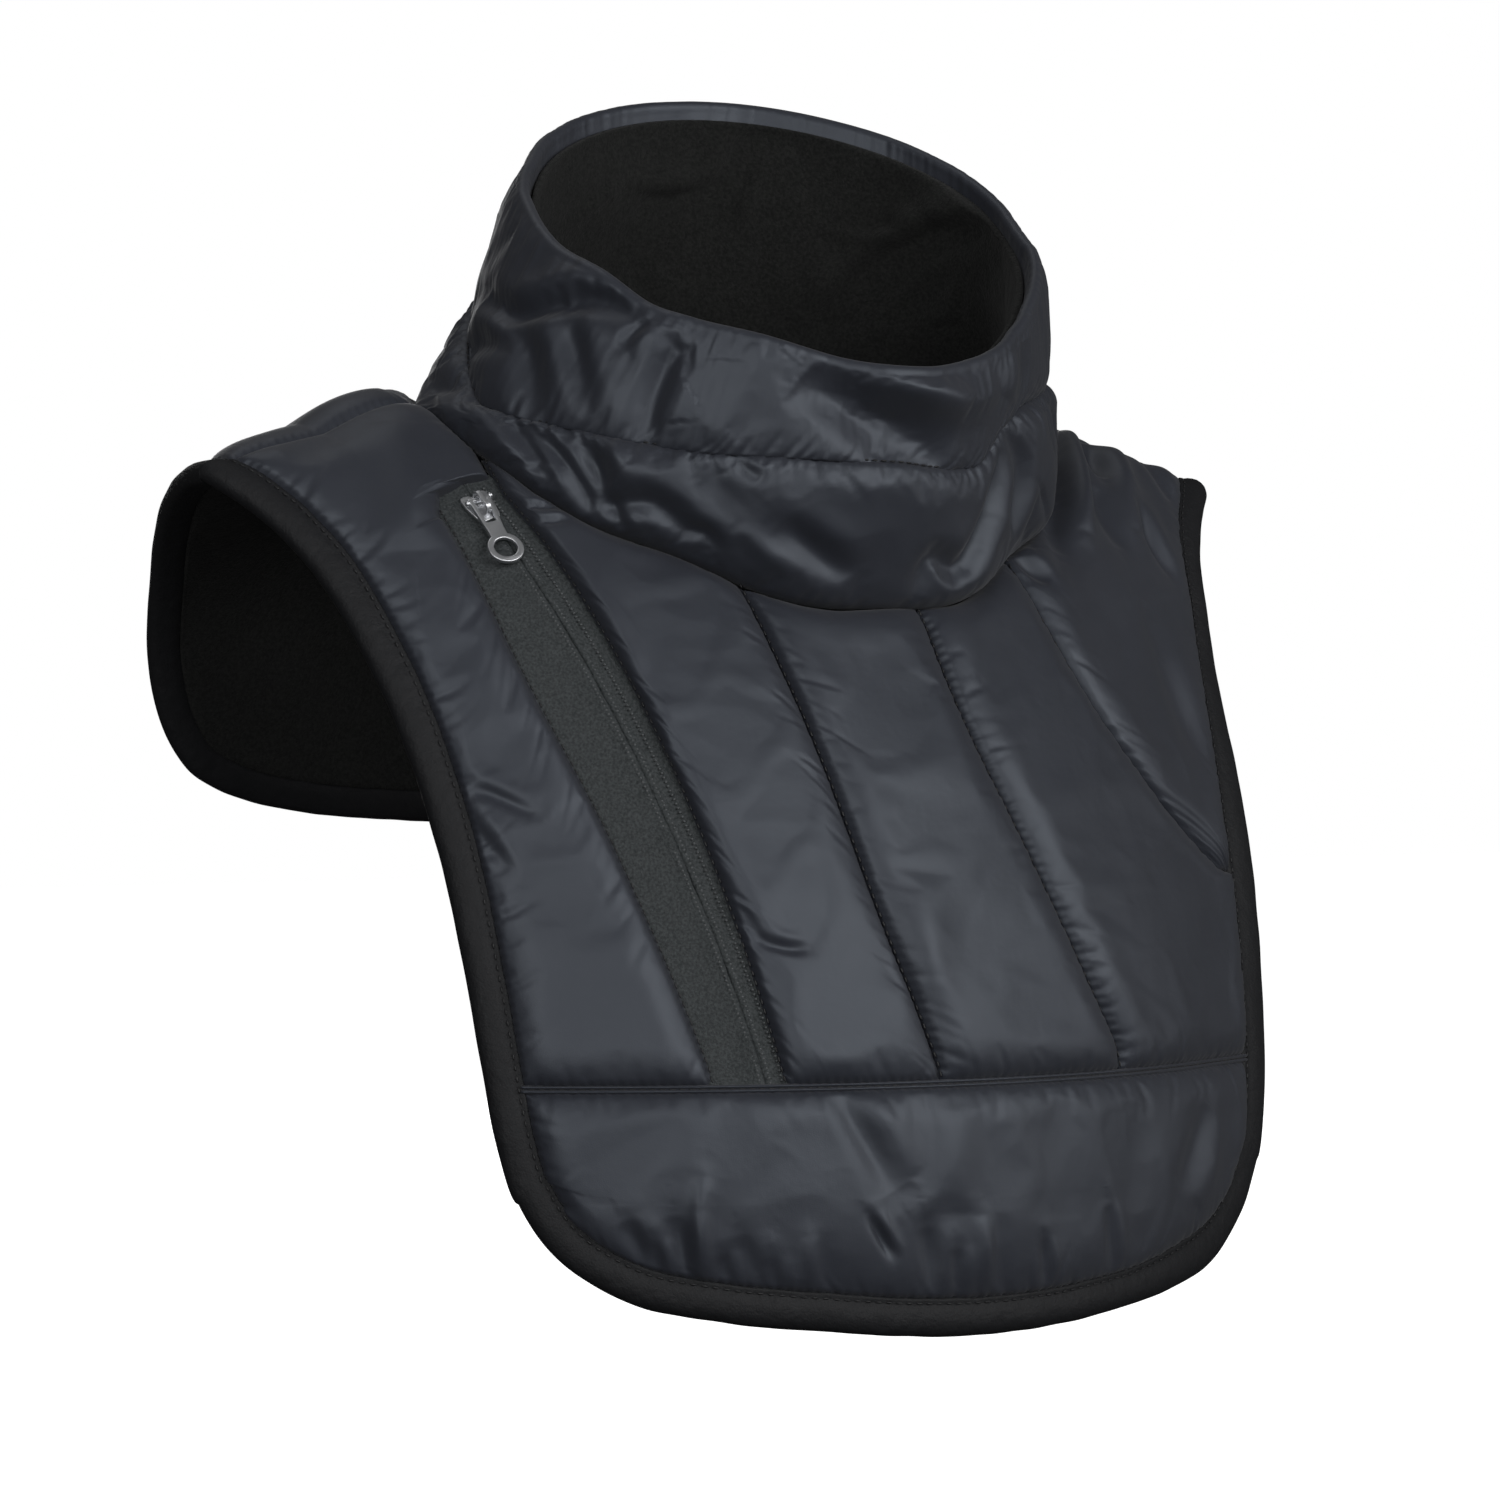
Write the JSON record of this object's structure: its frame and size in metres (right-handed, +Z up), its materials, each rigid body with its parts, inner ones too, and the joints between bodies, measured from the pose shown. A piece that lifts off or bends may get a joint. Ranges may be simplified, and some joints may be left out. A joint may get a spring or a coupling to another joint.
{
  "type": "neck warmer",
  "caption": "Padded neck warmer with a quilted bib over chest, shoulders and upper back, a tall two-tier collar that leans forward, a fleece lining and a slanting zip.",
  "frame": {"origin": "centre of the neck opening, at the seam between the collar and the bib", "axes": "+Z up as worn, the chest faces -Y, and the wearer's right side, with the zip, is -X"},
  "size_m": [0.3822, 0.2691, 0.3905],
  "materials": {
    "nylon": "dark blue-grey woven nylon, satin, padded",
    "piping": "narrow rolled nylon piping, satin",
    "fleece": "short-pile fleece, matte, near black",
    "binding": "soft rolled fabric edge, matte",
    "tape": "ribbed woven zip tape, matte",
    "metal": "gunmetal plating, satin"
  },
  "bodies": {
    "garment": {"side_panel_right": "nylon", "front_panel_zip_side": "nylon", "front_panel_middle": "nylon", "front_panel_outer": "nylon", "shoulder_panel_left": "nylon", "hem_panel": "nylon", "back_panel": "nylon", "hem_piping": "piping", "body_lining": "fleece", "edge_binding": "binding", "zip_tape_right": "tape", "zip_tape_left": "tape", "collar_lower_tier": "nylon", "collar_upper_tier": "nylon", "collar_lining": "fleece", "zip_slider": "metal"},
    "zip_pull": {"zip_pull": "metal"}
  },
  "joints": [
    {"name": "pull_hinge", "type": "hinge", "parent": "garment", "child": "zip_pull", "pos_m": [-0.11389, -0.03459, -0.02835], "axis": [-0.9425, 0.0052, -0.3342], "range_deg": [0, 138]}
  ]
}
